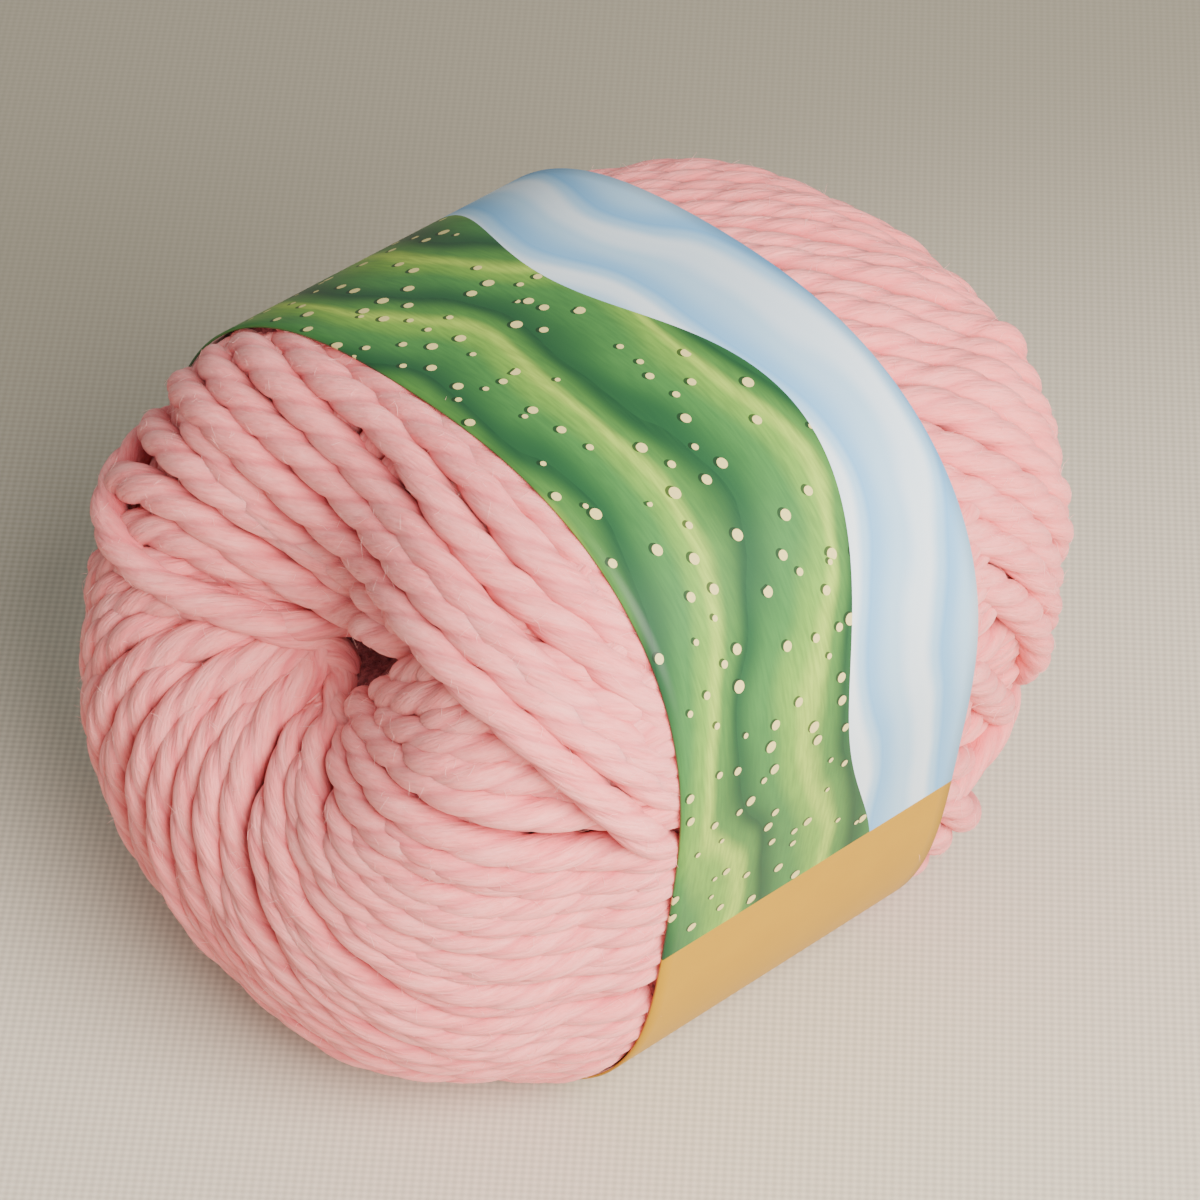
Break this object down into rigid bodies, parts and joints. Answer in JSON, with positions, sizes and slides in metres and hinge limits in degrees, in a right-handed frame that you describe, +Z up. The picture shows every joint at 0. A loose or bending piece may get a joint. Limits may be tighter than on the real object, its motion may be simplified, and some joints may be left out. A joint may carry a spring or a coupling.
{
  "type": "ball of yarn",
  "caption": "Soft machine-wound ball of plied knitting yarn lying on its side, its turns swirling into a hole at each end, with a printed paper band round its middle.",
  "frame": {"origin": "on the floor, under the middle of the ball's length and depth", "axes": "+Z is up; X runs along the ball's length, through the paper band, with the end that shows its winding hole at -X; -Y is the front"},
  "size_m": [0.097, 0.0814, 0.0796],
  "materials": {
    "yarn": "soft, matt and slightly fuzzy",
    "band_paper": "printed, slightly glossy"
  },
  "bodies": {
    "root": {"yarn_ball": "yarn", "paper_band": "band_paper"}
  },
  "joints": []
}
